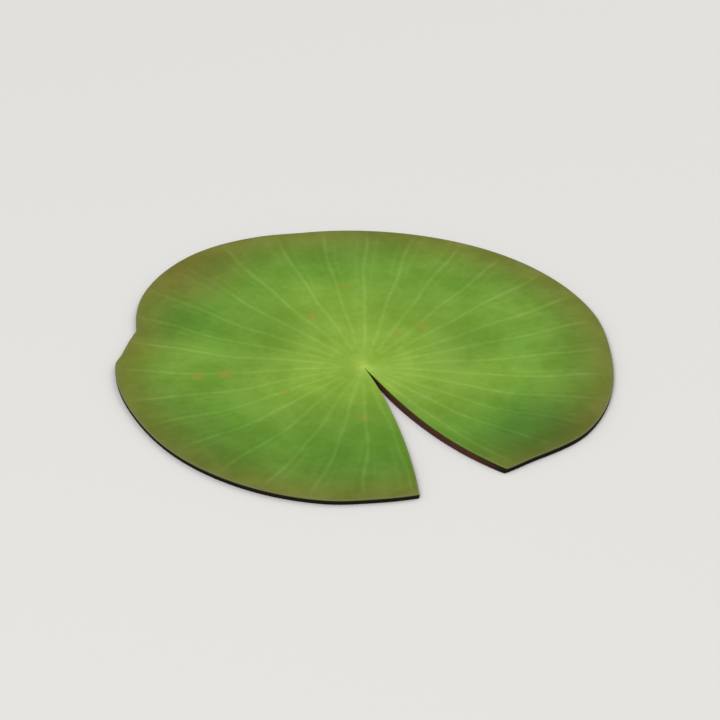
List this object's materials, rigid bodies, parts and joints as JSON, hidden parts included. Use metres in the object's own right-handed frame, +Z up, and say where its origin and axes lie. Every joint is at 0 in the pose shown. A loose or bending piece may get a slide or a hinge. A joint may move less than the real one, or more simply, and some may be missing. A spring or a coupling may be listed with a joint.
{
  "type": "water lily pad",
  "caption": "Round, nearly flat water lily leaf with a curved V notch to the stalk, a nick in its left edge and ribs fanning out underneath.",
  "frame": {"origin": "middle of the pad's outline, on the surface that it rests on", "axes": "+Z up out of the green upper side; the notch opens towards -Y and the leaf's tip points to +Y; +X to the right lobe as seen from above with the notch nearest"},
  "size_m": [0.221, 0.2248, 0.0031],
  "materials": {
    "leaf": "softly waxy green upper side, yellower at the stalk, olive brown rim, pale ribs; purple brown edge and underside"
  },
  "bodies": {
    "root": {"lily_pad": "leaf"}
  },
  "joints": []
}
